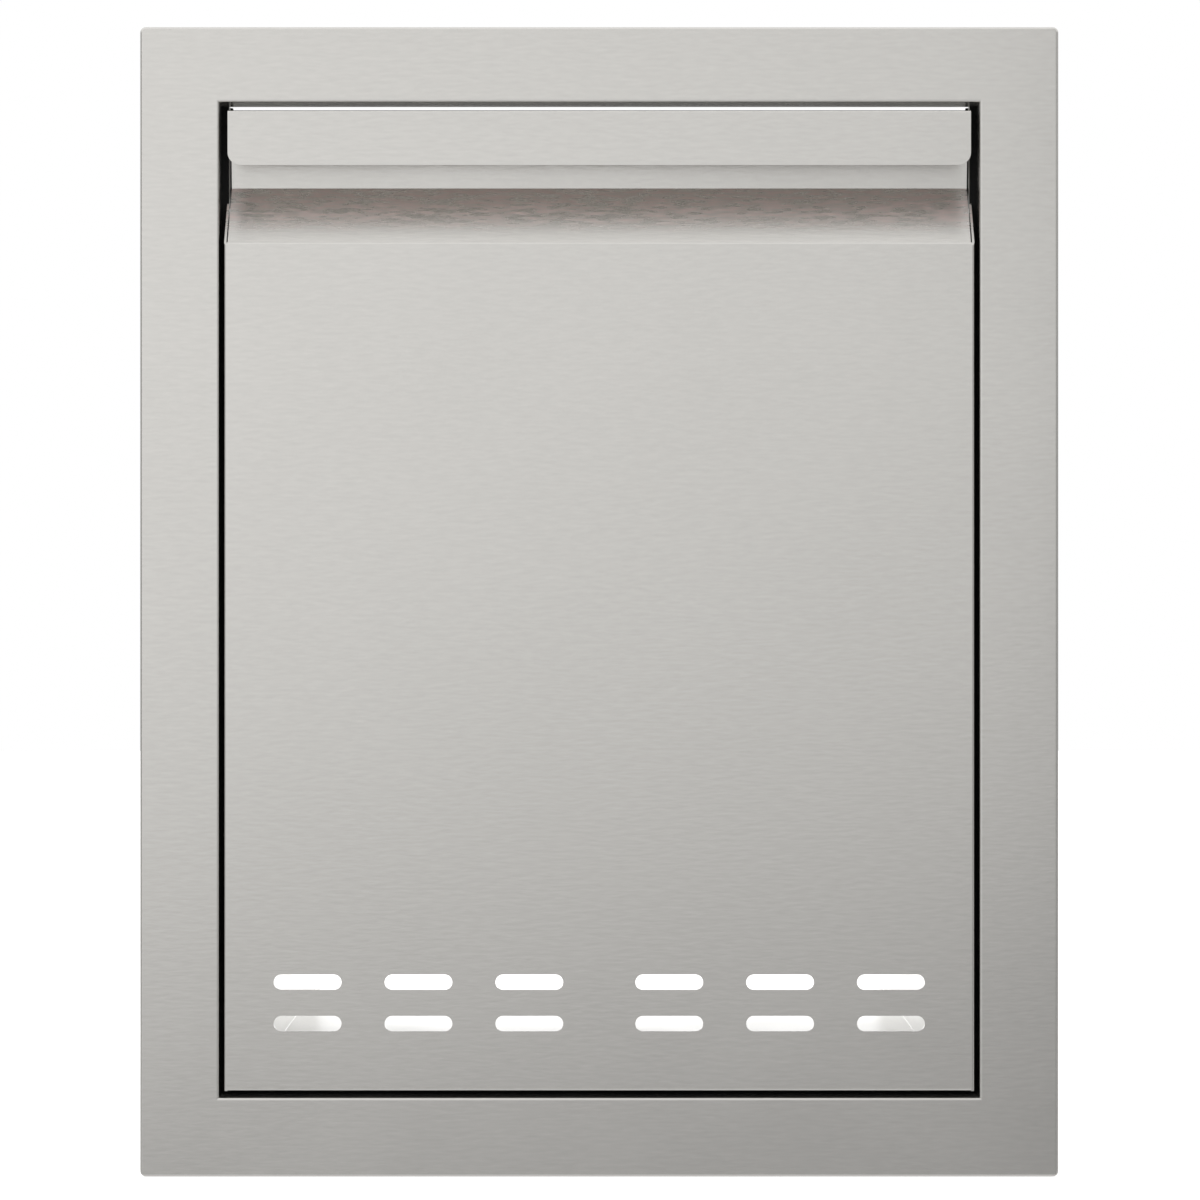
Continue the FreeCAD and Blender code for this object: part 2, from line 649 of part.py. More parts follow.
def drawer_tray():
    """Tray folded from one sheet: floor, two walls, a front lap for the liner, a hem turned under."""
    body = new_body("drawer_tray")
    top = f"({TRAY_LOW} + tray_wall)"
    floor = f"({TRAY_LOW} + sheet_gauge)"
    section = [
        (f"-{TRAY_X}", TRAY_LOW), (TRAY_X, TRAY_LOW), (TRAY_X, top), (TRAY_IN, top),
        (TRAY_IN, floor), (f"-{TRAY_IN}", floor), (f"-{TRAY_IN}", top), (f"-{TRAY_X}", top),
    ]
    pad(body, "pan", "XZ", [section], TRAY_FRONT, TRAY_BACK)
    bend(body, "wall_fold", {"x": TRAY_X, "z": TRAY_LOW}, {"x": TRAY_IN, "z": floor})
    lap = rectangle(f"-{GUSSET_X}", GUSSET_X, TRAY_LOW, f"({TRAY_LOW} + tray_front_flange)")
    pad(body, "front_lap", "XZ", [lap], TRAY_FRONT, LAP_BACK)
    hem = rectangle(f"-{GUSSET_X}", GUSSET_X, f"({TRAY_LOW} - sheet_gauge)", TRAY_LOW)
    pad(body, "rear_hem", "XZ", [hem], f"{TRAY_BACK} - tray_hem", TRAY_BACK)


def gusset(label, side):
    """Brace between the tray's wall and the tall front, with a lap welded to the liner."""
    body = new_body(label)
    reach = f"({PANEL_BACK} + gusset_reach)"
    nose = f"({PANEL_BACK} + gusset_nose)"
    heel = f"({GUSSET_LOW} + gusset_heel)"
    outline = [(PANEL_BACK, GUSSET_LOW), (reach, GUSSET_LOW), (reach, heel), (nose, GUSSET_TOP),
               (PANEL_BACK, GUSSET_TOP)]
    pad(body, "brace", "YZ", [outline], *span(side, GUSSET_X, TRAY_IN))
    lap = rectangle(*span(side, f"({TRAY_IN} - gusset_flange)", TRAY_IN), LAP_LOW, GUSSET_TOP)
    pad(body, "lap", "XZ", [lap], PANEL_BACK, LAP_BACK)


def slide_section(side, web, tip, face, gauge):
    """Channel section of a slide member: web between two depths, flanges running to the tip."""
    back, front = web
    points = [
        (back, f"-{face}"), (back, face), (tip, face), (tip, f"({face} - {gauge})"),
        (front, f"({face} - {gauge})"), (front, f"({gauge} - {face})"), (tip, f"({gauge} - {face})"),
        (tip, f"-{face}"),
    ]
    return [(from_wall(side, depth), f"({SLIDE_Z} + {height})") for depth, height in points]


def ball_tracks(side, row, height):
    """The two round ball tracks, above and below the slide's middle."""
    return [((from_wall(side, row), f"({SLIDE_Z} {sign} {height})"), RACE_R) for sign in "+-"]


def slide_member(label, side, section, bend_at, tracks, start, end):
    """A rolled slide member with grooved flanges."""
    body = new_body(label)
    pad(body, "channel", "XZ", [section], start, end)
    depth, height = bend_at
    edge_x = f"({HOUSING_X} - {depth})"
    edges = edges_at(body, x=edge_x, z=f"{SLIDE_Z} + {height}")
    edges += edges_at(body, x=edge_x, z=f"{SLIDE_Z} - {height}")
    fillet(body, "rolled_edges", edges, "member_bend")
    for name, (row, place) in tracks.items():
        cut(body, name, "XZ", ball_tracks(side, row, place), start, end)
    return body


def slide_members(name, side):
    """The three members of one telescopic slide, from the housing inwards."""
    outer = slide_section(side, ("0", "member_web"), "flange_reach", "(slide_height / 2)", "race_flange")
    cabinet = slide_member(f"{name}_cabinet_member", side, outer, ("0", "slide_height / 2"),
                           {"outer_track": ("outer_row", OUTER_BALL)}, "slide_start", SLIDE_BACK)
    web = (MIDDLE_U, f"({MIDDLE_U} + member_web)")
    middle = slide_section(side, web, f"({MIDDLE_U} + middle_reach)", MIDDLE_FACE, "middle_flange")
    slide_member(f"{name}_middle_member", side, middle, (MIDDLE_U, MIDDLE_FACE),
                 {"outer_track": ("outer_row", OUTER_BALL), "inner_track": ("inner_row", INNER_BALL)},
                 MIDDLE_START, MIDDLE_BACK)
    web = ("slide_thickness", DRAWER_WEB_U)
    inner = slide_section(side, web, INNER_TIP_U, INNER_FACE, "race_flange")
    slide_member(f"{name}_drawer_member", side, inner, ("slide_thickness", INNER_FACE),
                 {"inner_track": ("inner_row", INNER_BALL)}, "slide_start", DRAWER_MEMBER_BACK)
    sink = [("0", "0"), ("member_web", "0"), ("member_web", f"({SCREW_HOLE} + member_web)"),
            ("0", SCREW_HOLE)]
    cone = [(across(-side, depth), radius) for depth, radius in sink]
    hole = groove(cabinet, "sunk_hole", "XY", (across(side, HOUSING_X), SCREW_Y, SLIDE_Z), cone)
    repeat(cabinet, "sunk_holes", [hole], [row_of(cabinet, "Y", SCREW_PITCH, 2)])


def groove(body, name, plane, shift, outline):
    """Material taken away by turning an outline about the shifted sketch's own x axis."""
    before = body.Shape.Volume
    sketch = new_sketch(body, f"{name}_profile", plane, shift)
    draw_polygon(sketch, outline)
    feature = body.newObject("PartDesign::Groove", name)
    feature.Profile = sketch
    feature.ReferenceAxis = (sketch, ["H_Axis"])
    feature.Angle = 360
    settle(body, feature)
    if body.Shape.Volume > before - LEAST_CUT:
        raise RuntimeError(f"{body.Label}: {name} cuts nothing")
    return feature


def ball_retainer(name, row_name, side, web_u, row, height, start):
    """A ball retainer: folded strip with a round pocket for each ball, and its two rows of balls."""
    cage = new_body(f"{name}_{row_name}_retainer")
    face = f"({height} + retainer_gauge / 2)"
    tip = f"({row} + retainer_reach)"
    section = slide_section(side, (web_u, f"({web_u} + retainer_gauge)"), tip, face, "retainer_gauge")
    end = f"({start} + retainer_length)"
    pad(cage, "strip", "XZ", [section], start, end)
    middle = f"({start} + ball_inset)"
    half = "(ball_diameter / 2 + pocket_clearance)"
    window = rectangle(*slide_span(side, f"({row} - {half})", f"({row} + {half})"), f"({middle} - {half})",
                       f"({middle} + {half})")
    low = f"({SLIDE_Z} - {face})"
    pocket = cut(cage, "pocket", "XY", [window], low, f"({low} + retainer_gauge)")
    run = f"({BALL_PITCH} * (balls_per_row - 1))"
    rise = f"({height} * 2)"
    repeat(cage, "pockets", [pocket], [row_of(cage, "Y", run, "balls_per_row"), row_of(cage, "Z", rise, 2)])
    balls = new_body(f"{name}_{row_name}_balls")
    ball = faceted_ball(balls, from_wall(side, row), middle, f"({SLIDE_Z} - {height})")
    repeat(balls, "rows", [ball], [row_of(balls, "Y", run, "balls_per_row"), row_of(balls, "Z", rise, 2)])


def faceted_ball(body, x, y, z):
    """A ball of few faces: eight sides that taper both ways to a small flat, every corner on the sphere."""
    sides = 8
    flat_at = math.radians(60)
    radius = "(ball_diameter / 2)"
    sketch = new_sketch(body, "ball_outline", "XY", ("0", "0", z))
    turns = [2 * math.pi * (i + 0.5) / sides for i in range(sides)]
    draw(sketch, [[(f"({x} + {radius} * {math.cos(turn):.6f})", f"({y} + {radius} * {math.sin(turn):.6f})")
                   for turn in turns]])
    ball = body.newObject("PartDesign::Pad", "ball")
    ball.Profile = sketch
    ball.SideType = "Two sides"
    taper = math.degrees(math.atan(math.cos(math.pi / sides) * (1 - math.cos(flat_at)) / math.sin(flat_at)))
    for end in ("", "2"):
        ball.setExpression(f"Length{end}", link(f"{radius} * {math.sin(flat_at):.6f}"))
        setattr(ball, f"TaperAngle{end}", -taper)
    return settle(body, ball)


def slide_buffer(name, side):
    """Closing buffer held in the rear end of the cabinet member."""
    body = new_body(f"{name}_slide_buffer")
    start = f"({DRAWER_MEMBER_BACK} + buffer_clearance)"
    low, high = f"({SLIDE_Z} - buffer_height / 2)", f"({SLIDE_Z} + buffer_height / 2)"
    block = rectangle(*slide_span(side, "member_web", "(member_web + buffer_width)"), low, high)
    pad(body, "block", "XZ", [block], start, f"{start} + buffer_length")
    edges = edges_at(body, y=start, z=low) + edges_at(body, y=start, z=high)
    fillet(body, "lead_edges", edges, "member_bend")


def cabinet_member_screws():
    """Countersunk screws, flush in the cabinet members and tapped through the housing sides."""
    body = new_body("cabinet_member_screws")
    screw_r = "(screw_diameter / 2)"
    tip = "(sheet_gauge + screw_proud)"
    outline = [("(-member_web)", "0"), (tip, "0"), (tip, screw_r), ("0", screw_r),
               ("(-member_web)", f"({screw_r} + member_web)")]
    screw = turn(body, "screw", "XY", (HOUSING_X, SCREW_Y, SLIDE_Z), outline)
    repeat(body, "screws", [screw], [row_of(body, "Y", SCREW_PITCH, 2), mirror_of(body, "YZ")])


def release_lever(name, side):
    """Release lever: pivot eye, tapering arm and a thumb tip, lying inside the drawer member."""
    body = new_body(f"{name}_release_lever")
    depth = span(side, f"({HOUSING_X} - {LEVER_U} - lever_thickness)", f"({HOUSING_X} - {LEVER_U})")
    start, end = f"({LEVER_Y} - lever_length)", f"({LEVER_Y} + lever_width / 2)"
    waist = f"({start} + lever_width)"
    half, tip = "(lever_width / 2)", "(lever_tip / 2)"
    upper = [(end, tip), (LEVER_Y, half), (waist, tip), (start, half)]
    outline = [(y, f"({SLIDE_Z} + {z})") for y, z in upper]
    outline += [(y, f"({SLIDE_Z} - {z})") for y, z in reversed(upper)]
    pad(body, "arm", "YZ", [outline], *depth)
    cut(body, "bore", "YZ", [((LEVER_Y, SLIDE_Z), "(lever_pin / 2 + lever_bore_clearance)")], *depth)


def lever_pivots():
    """Headed studs, welded to the drawer members' webs, that carry the levers."""
    body = new_body("lever_pivots")
    pin = "(lever_pin / 2)"
    depth = f"({DRAWER_WEB_U} - {LEVER_HEAD_U})"
    top = f"({depth} + lever_head_height)"
    outline = [("0", "0"), (top, "0"), (top, "(lever_head / 2)"), (depth, "(lever_head / 2)"), (depth, pin),
               ("0", pin)]
    place = (f"({HOUSING_X} - {DRAWER_WEB_U})", LEVER_Y, SLIDE_Z)
    pivot = turn(body, "pivot", "XY", place, outline)
    repeat(body, "pivots", [pivot], [mirror_of(body, "YZ")])


def build():
    """Make every piece, from the frame inwards."""
    fill_sheet()
    face_frame()
    front_panel()
    front_liner()
    closing_seal()
    housing_floor()
    channel_bar("rear_tie_bar", HOUSING_X, f"({HOUSING_BACK} - sheet_gauge)", "tie_bar_depth",
                f"({OPEN_TOP} - tie_bar_drop)", "tie_bar_height")
    drawer_tray()
    channel_bar("rear_guard_rail", TRAY_IN, f"({TRAY_BACK} - rail_inset)", "rail_depth",
                f"({TRAY_LOW} + tray_wall - rail_drop)", "rail_height")
    for name, side in SIDES.items():
        housing_side(f"{name}_housing_side", side)
        gusset(f"{name}_gusset", side)
        slide_members(name, side)
        ball_retainer(name, "outer", side, OUTER_CAGE_U, "outer_row", OUTER_BALL, OUTER_CAGE_Y)
        ball_retainer(name, "inner", side, INNER_CAGE_U, "inner_row", INNER_BALL, INNER_CAGE_Y)
        slide_buffer(name, side)
        release_lever(name, side)
    cabinet_member_screws()
    lever_pivots()


def write_parts():
    """Check every feature and piece, then write each piece to its own file."""
    doc.recompute()
    for item in doc.Objects:
        if "Invalid" in item.State or "Error" in item.State:
            raise RuntimeError(f"{item.Label} failed: {item.State}")
    for body in parts:
        if body.Shape.isNull() or not body.Shape.isValid():
            raise RuntimeError(f"{body.Label} has no valid shape")
    os.makedirs("parts", exist_ok=True)
    for body in parts:
        body.Shape.exportStep(f"parts/{body.Label}.step")
        box = body.Shape.BoundBox
        print(body.Label, len(body.Shape.Solids), round(body.Shape.Volume, 1),
              [round(v, 2) for v in (box.XMin, box.YMin, box.ZMin, box.XMax, box.YMax, box.ZMax)])


build()
write_parts()
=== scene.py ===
import math

import bpy
import numpy as np
from bpy.props import FloatProperty, FloatVectorProperty, PointerProperty
from bpy.types import Operator, Panel, PropertyGroup
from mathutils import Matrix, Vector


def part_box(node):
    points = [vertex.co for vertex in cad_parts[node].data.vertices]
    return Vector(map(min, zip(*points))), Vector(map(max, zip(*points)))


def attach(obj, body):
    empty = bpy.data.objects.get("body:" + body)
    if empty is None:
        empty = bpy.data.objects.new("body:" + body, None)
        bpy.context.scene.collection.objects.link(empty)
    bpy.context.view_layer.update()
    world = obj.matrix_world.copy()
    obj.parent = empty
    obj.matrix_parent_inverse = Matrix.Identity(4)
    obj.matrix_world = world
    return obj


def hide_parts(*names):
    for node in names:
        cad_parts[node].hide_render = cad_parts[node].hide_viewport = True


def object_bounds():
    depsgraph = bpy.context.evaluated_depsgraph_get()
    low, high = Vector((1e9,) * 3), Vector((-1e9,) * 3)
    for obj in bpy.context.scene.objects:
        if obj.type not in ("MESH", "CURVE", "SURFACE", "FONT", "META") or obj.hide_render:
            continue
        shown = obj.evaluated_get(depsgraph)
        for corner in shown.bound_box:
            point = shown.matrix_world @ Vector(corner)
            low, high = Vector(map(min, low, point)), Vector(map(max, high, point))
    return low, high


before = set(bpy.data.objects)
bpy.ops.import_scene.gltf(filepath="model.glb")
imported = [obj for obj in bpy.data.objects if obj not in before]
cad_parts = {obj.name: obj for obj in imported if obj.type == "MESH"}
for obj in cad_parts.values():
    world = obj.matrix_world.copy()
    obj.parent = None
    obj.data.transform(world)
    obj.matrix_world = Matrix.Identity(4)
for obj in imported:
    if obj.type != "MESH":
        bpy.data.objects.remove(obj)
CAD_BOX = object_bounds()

bl_info = {
    "name": "Vented pull-out drawer",
    "version": (1, 0, 0),
    "blender": (4, 5, 0),
    "location": "View3D > Sidebar > Drawer",
    "description": "Finishes, small hardware and studio for a built-in stainless pull-out drawer",
    "category": "Object",
}

MM = 0.001
SIDES = {"left": -1.0, "right": 1.0}
# Thickness of the sheets, and width of the flange that a gusset lays on the liner.
SHEET = 1.2 * MM
GUSSET_LAP = 22 * MM
# Places of the tray screws along the drawer member, as shares of its length.
SCREW_PLACES = np.array([0.09, 0.5, 0.9])
# A gusset's spot welds: how many, and how far their row keeps from the gusset's foot and head.
GUSSET_WELDS = 6
GUSSET_WELD_FOOT = 62 * MM
GUSSET_WELD_HEAD = 14 * MM
# The housing's spot welds on each side: how many along the floor, how far they keep from its ends and below
# its top, and the heights of the tie bar's two from the bar's middle.
FLOOR_WELDS = 8
FLOOR_WELD_ENDS = 30 * MM
FLOOR_WELD_DROP = 6 * MM
TIE_WELD_HEIGHTS = np.array([-5, 5]) * MM
# A face is on a fold to the side where its normal points this far left or right.
FOLDED = 0.7
# The slope of the pull is where the normal rises this far, give or take the second number.
SLOPE_RISE = 0.6
SLOPE_SLACK = 0.1
# Depths on the slope at which finger marks and the painted warm reflection begin and are full, and what the
# marks add to the roughness.
SMEAR_AND_REFLECTION_START = -3 * MM
SMEAR_AND_REFLECTION_FULL = 7 * MM
FILM_HAZE = 0.11
# How far the roughness of the brushing goes either way from patch to patch.
PATCH_ROUGHNESS = 0.02
# What is taken as the range of a noise, which seldom goes nearer to nought and one.
NOISE_RANGE = {"From Min": 0.25, "From Max": 0.75}
# Noise fades at whole steps of its pattern, so the grain is moved off them by part of a step.
OFF_LATTICE = (0.37, 0.37, 0.37)

BRUSHED_NODES = ["face_frame", "front_panel"]
MILL_NODES = [
    "front_liner", "drawer_tray", "rear_guard_rail", "left_gusset", "right_gusset",
    "left_housing_side", "right_housing_side", "housing_floor", "rear_tie_bar",
]
MEMBER_NODES = [f"{side}_{kind}_member" for side in SIDES for kind in ("cabinet", "middle", "drawer")]
RETAINER_NODES = [f"{side}_{row}_retainer" for side in SIDES for row in ("outer", "inner")]
PLASTIC_NODES = [f"{side}_{kind}" for side in SIDES for kind in ("release_lever", "slide_buffer")]
FIXING_NODES = ["cabinet_member_screws", "lever_pivots"]

# Brightness of the studio in front by a ray's rise and its swing to the right, and by its rise all round and
# straight behind.
ROOM_RISE = [
    (-0.85, 0.3), (-0.6, 0.95), (-0.3, 0.4), (-0.2, 0.3), (-0.05, 0.9), (0.1, 1.2), (0.6, 1.25), (1.0, 1.1)
]
ROOM_SWING = [(-0.95, 0.4), (-0.75, 0.45), (-0.6, 1.0), (0.0, 1.0), (0.3, 0.7), (0.5, 0.37)]
ROUND_RISE = [
    (-1.0, 0.8), (-0.75, 0.75), (-0.5, 0.45), (-0.22, 0.85), (-0.12, 0.35), (0.12, 0.35), (0.3, 1.0),
    (0.9, 1.1), (1.0, 1.0),
]
BACK_RISE = [(-0.2, 0.1), (0.2, 0.35)]
# How far a ray points back where the light all round takes over from the front's, and the light straight
# behind from that.
ROUND_FROM = (-0.85, -0.65)
BACK_FROM = (0.75, 0.9)
# Left, right, low and high edges of the softboxes in front and behind, in metres.
FRONT_BOX = (-0.8, 0.65, -0.55, 1.0)
REAR_BOX = (-0.215, 0.215, -0.315, -0.15)
# Brightness of the front one by height, measured along a line that leans to the left, and by distance to
# the right.
BOX_LEAN = (-0.12, 0.0, 1.0)
BOX_HEIGHT = [
    (-0.6, 0.37), (-0.43, 0.42), (-0.36, 0.56), (-0.2, 0.78), (-0.1, 0.86), (0.1, 0.96), (0.3, 1.0),
    (0.5, 0.95), (1.0, 0.9),
]
BOX_SWING = [(-0.8, 1.1), (-0.36, 1.0), (0.36, 0.86), (0.5, 0.5), (0.65, 0.33)]
# The floor's radius and number of sides, and how far below the frame it lies, so that they share no plane.
FLOOR_RADIUS = 6.0
FLOOR_SIDES = 96
FLOOR_DROP = 0.3 * MM


def linear(code):
    """An sRGB hex colour as linear red, green, blue and alpha."""
    srgb = np.array([int(code[i:i + 2], 16) for i in (1, 3, 5)]) / 255
    low, high = srgb / 12.92, ((srgb + 0.055) / 1.055) ** 2.4
    return (*np.where(srgb <= 0.04045, low, high).tolist(), 1.0)


def colour(name, description, code):
    """A colour property with its sRGB hex default."""
    return FloatVectorProperty(
        name=name, description=description, subtype="COLOR", size=4, min=0, max=1, default=linear(code)
    )


def length(name, description, metres):
    """A length property in metres."""
    return FloatProperty(
        name=name, description=description, subtype="DISTANCE", unit="LENGTH", precision=5,
        min=0, default=metres,
    )


def share(name, description, value):
    """A property between nought and one."""
    return FloatProperty(
        name=name, description=description, subtype="FACTOR", min=0, max=1, default=value
    )


class DrawerFinish(PropertyGroup):
    """Colours and grain of the drawer's finishes."""

    brushed: colour("Brushed stainless", "Face frame and drawer front", "#D8D6D2")
    brushed_roughness: share("Brushed roughness", "How far the brushing spreads a reflection", 0.25)
    # The warm tint on the slope of the pull: finger marks, and a painted warm reflection.
    smear_and_reflection: colour("Finger film", "Marks that fingers leave on the slope of the pull", "#E6D7D3")
    grain_length: length("Grain length", "Length of one brush stroke", 10 * MM)
    grain_width: length("Grain width", "Width of one brush stroke", 1.9 * MM)
    mill: colour("Mill stainless", "Housing, tray, gussets and liner", "#C9C8C5")
    zinc: colour("Zinc plate", "Slide members", "#C6C9CB")
    strip: colour("Pressed steel strip", "Ball retainers", "#B3B2AE")
    ball: colour("Ball steel", "Balls of the slides", "#D9DADB")
    plastic: colour("Black plastic", "Release levers and closing buffers", "#1B1C1E")
    # The seal's black also stands as painted shade deep in the frame's side and bottom gaps.
    rubber: colour("Foam rubber", "Closing seal", "#121212")
    screw: colour("Plain steel", "Screws and pivots", "#C2C2BF")
    weld: colour("Weld tint", "Straw tint left on a spot weld", "#B9B0A0")


class DrawerHardware(PropertyGroup):
    """Sizes of the small hardware."""

    ball_diameter: length("Ball diameter", "Balls of the slides", 3.2 * MM)
    head_diameter: length("Screw head", "Diameter of the tray screws' low heads", 9 * MM)
    head_height: length("Head height", "Height of the tray screws' low heads", 2 * MM)
    weld_diameter: length("Weld mark", "Diameter of a spot weld's mark", 6 * MM)
    weld_height: length("Weld rim", "Height of the rim pushed up round a spot weld", 0.25 * MM)


class DrawerStage(PropertyGroup):
    """Camera and light."""

    camera_distance: length("Camera distance", "From the lens to the face of the frame", 2.1)
    view_width: length("View width", "Width of the picture at the face of the frame", 0.6637)
    aim_right: length("Aim right", "How far right of the frame's centre the camera stands", 0.0004)
    aim_up: length("Aim up", "How far above the frame's centre the camera stands", 0.001)
    front_distance: length("Front softbox", "From the wall's face to the softbox in front", 0.95)
    rear_distance: length("Rear softbox", "From the wall's face to the softbox behind", 0.58)
    rear_level: FloatProperty(
        name="Rear level", description="Brightness of the softbox behind", min=0, default=2.4
    )
    backdrop: colour("Backdrop", "What the camera sees behind the object", "#FFFFFF")
    floor: colour("Floor", "Pale studio floor", "#F4F4F3")


def add(tree, kind, inputs=None, out=None, **settings):
    """Adds a node with its settings, sets or links its inputs, and gives the output named or the first."""
    node = tree.nodes.new(kind)
    for key, value in settings.items():
        setattr(node, key, value)
    for key, value in (inputs or {}).items():
        if isinstance(key, int):
            socket = node.inputs[key]
        else:
            socket = next(s for s in node.inputs if s.enabled and s.name == key)
        if isinstance(value, bpy.types.NodeSocket):
            tree.links.new(value, socket)
        else:
            socket.default_value = value
    outputs = [s for s in node.outputs if s.enabled and out in (None, s.name)]
    return outputs[0] if outputs else None


def new_material(name):
    """A material with no nodes yet, and its node tree."""
    material = bpy.data.materials.new(name)
    material.use_nodes = True
    material.node_tree.nodes.clear()
    return material, material.node_tree


def surface(tree, base, tone, shine=None, dents=None, **sockets):
    """Ends a material with one Principled shader whose colour, roughness and height follow noises.

    base is a colour, or a node's output. tone is a noise with the lowest and highest factor that it puts on
    the base, shine a noise with the lowest and highest roughness, and dents a noise with the depth of its
    bump in metres and its strength. The rest go straight to the shader's sockets, with underscores for the
    spaces in their names.
    """
    inputs = {key.replace("_", " "): value for key, value in sockets.items()}
    spans = {"Base Color": tone, "Roughness": shine} if shine else {"Base Color": tone}
    for socket, (noise, low, high) in spans.items():
        inputs[socket] = add(
            tree, "ShaderNodeMapRange", {**NOISE_RANGE, "Value": noise, "To Min": low, "To Max": high},
            out="Result",
        )
    factor = inputs["Base Color"]
    grey = add(tree, "ShaderNodeCombineColor", {"Red": factor, "Green": factor, "Blue": factor})
    inputs["Base Color"] = add(
        tree, "ShaderNodeMix", {"Factor": 1.0, "A": base, "B": grey},
        data_type="RGBA", blend_type="MULTIPLY",
    )
    if dents:
        height, depth, strength = dents
        inputs["Normal"] = add(
            tree, "ShaderNodeBump", {"Height": height, "Distance": depth, "Strength": strength}
        )
    shader = add(tree, "ShaderNodeBsdfPrincipled", inputs)
    add(tree, "ShaderNodeOutputMaterial", {"Surface": shader})


def grain(tree, run, width, detail=3.0):
    """Noise drawn out along the sheet's grain.

    The grain runs level. On a face that looks left or right it has followed the fold and runs front to
    back, so there the long axis changes from X to Y. Gives the noise, and the direction across the grain,
    in which it spreads a reflection.
    """
    place = add(tree, "ShaderNodeTexCoord", out="Object")
    normal = add(tree, "ShaderNodeNewGeometry", out="Normal")
    sideways = add(tree, "ShaderNodeSeparateXYZ", {"Vector": normal}, out="X")
    sideways = add(tree, "ShaderNodeMath", {0: sideways}, operation="ABSOLUTE")
    folded = add(tree, "ShaderNodeMath", {0: sideways, 1: FOLDED}, operation="GREATER_THAN")
    level, turned = (
        add(tree, "ShaderNodeMapping", {"Vector": place, "Location": OFF_LATTICE, "Scale": scale})
        for scale in ((1 / run, 1 / width, 1 / width), (1 / width, 1 / run, 1 / width))
    )
    vector = add(
        tree, "ShaderNodeMix", {"Factor": folded, "A": level, "B": turned}, data_type="VECTOR"
    )
    noise = add(
        tree, "ShaderNodeTexNoise",
        {"Vector": vector, "Scale": 1.0, "Detail": detail, "Roughness": 0.6}, out="Fac",
    )
    direction = add(
        tree, "ShaderNodeMix",
        {"Factor": folded, "A": (1.0, 0.0, 0.0), "B": (0.0, 1.0, 0.0)}, data_type="VECTOR",
    )
    across = add(
        tree, "ShaderNodeVectorMath", {0: normal, 1: direction}, out="Vector", operation="CROSS_PRODUCT"
    )
    return noise, across


def cloud(tree, size, detail=2.0):
    """Soft noise with patches of the given size in metres."""
    place = add(tree, "ShaderNodeTexCoord", out="Object")
    return add(
        tree, "ShaderNodeTexNoise", {"Vector": place, "Scale": 1 / size, "Detail": detail}, out="Fac"
    )


def ramp(tree, value, stops):
    """A level that follows stops of (place, level), where the place is between -1 and 1."""
    fraction = add(tree, "ShaderNodeMapRange", {"Value": value, "From Min": -1.0}, out="Result")
    out = add(tree, "ShaderNodeValToRGB", {"Fac": fraction}, out="Color")
    elements = out.node.color_ramp.elements
    while len(elements) < len(stops):
        elements.new(1.0)
    for element, (place, level) in zip(elements, stops):
        element.position = (place + 1) / 2
        element.color = (level, level, level, 1.0)
    return out


def two_way_level(tree, height, height_stops, swing, swing_stops):
    """A level by height times a level by swing to the right, each on its own ramp."""
    levels = {"A": ramp(tree, height, height_stops), "B": ramp(tree, swing, swing_stops)}
    return add(
        tree, "ShaderNodeMix", {"Factor": 1.0, **levels}, data_type="RGBA", blend_type="MULTIPLY"
    )


def warm_reflection_and_smears(tree):
    """How thickly finger marks and a painted warm reflection lie: in smears on the slope of the pull, less
    towards its front edge.

    It is the product of three shares: how strong the smears are, whether the face is the slope, and how far
    back it is. The smears run below nought and above one and are cut off there, which leaves clean gaps.
    """
    noise = grain(tree, 12 * MM, 2.2 * MM, 1.0)[0]
    smears = add(
        tree, "ShaderNodeMapRange", {**NOISE_RANGE, "Value": noise, "To Min": -0.5, "To Max": 1.5},
        out="Result",
    )
    normal = add(tree, "ShaderNodeNewGeometry", out="Normal")
    rise = add(tree, "ShaderNodeSeparateXYZ", {"Vector": normal}, out="Z")
    sloping = add(
        tree, "ShaderNodeMath", {0: rise, 1: SLOPE_RISE, 2: SLOPE_SLACK}, operation="COMPARE"
    )
    place = add(tree, "ShaderNodeTexCoord", out="Object")
    depth = add(tree, "ShaderNodeSeparateXYZ", {"Vector": place}, out="Y")
    reach = add(
        tree, "ShaderNodeMapRange", {"Value": depth, "From Min": SMEAR_AND_REFLECTION_START, "From Max": SMEAR_AND_REFLECTION_FULL},
        out="Result",
    )
    reached = add(tree, "ShaderNodeMath", {0: sloping, 1: reach}, operation="MULTIPLY")
    return add(tree, "ShaderNodeMath", {0: smears, 1: reached}, operation="MULTIPLY", use_clamp=True)


def brushed_stainless(finish):
    """Stainless sheet, belt brushed to a number 4 finish.

    The eye gets a satin grey, fine level strokes, and reflections drawn out across the strokes. Real
    strokes are about 0.1 mm wide; they are drawn coarser, at the grain width, so that they show. Finger
    marks dull it on the slope of the pull, and warm it there together with a painted warm reflection.
    """
    material, tree = new_material("brushed_stainless")
    strokes, across = grain(tree, finish.grain_length, finish.grain_width)
    patches = cloud(tree, 90 * MM)
    smear_and_reflection = warm_reflection_and_smears(tree)
    # The slope's warm tint, mixed in here, is finger marks and a painted warm reflection.
    steel = add(
        tree, "ShaderNodeMix", {"Factor": smear_and_reflection, "A": tuple(finish.brushed), "B": tuple(finish.smear_and_reflection)},
        data_type="RGBA",
    )
    low, high = (finish.brushed_roughness + sign * PATCH_ROUGHNESS for sign in (-1, 1))
    clean = add(
        tree, "ShaderNodeMapRange", {**NOISE_RANGE, "Value": patches, "To Min": low, "To Max": high},
        out="Result",
    )
    rough = add(tree, "ShaderNodeMath", {0: smear_and_reflection, 1: FILM_HAZE, 2: clean}, operation="MULTIPLY_ADD")
    surface(
        tree, steel, tone=(strokes, 0.97, 1.03), dents=(strokes, 0.06 * MM, 1.0), Metallic=1.0,
        Roughness=rough, Anisotropic=0.75, Tangent=across,
    )
    return material


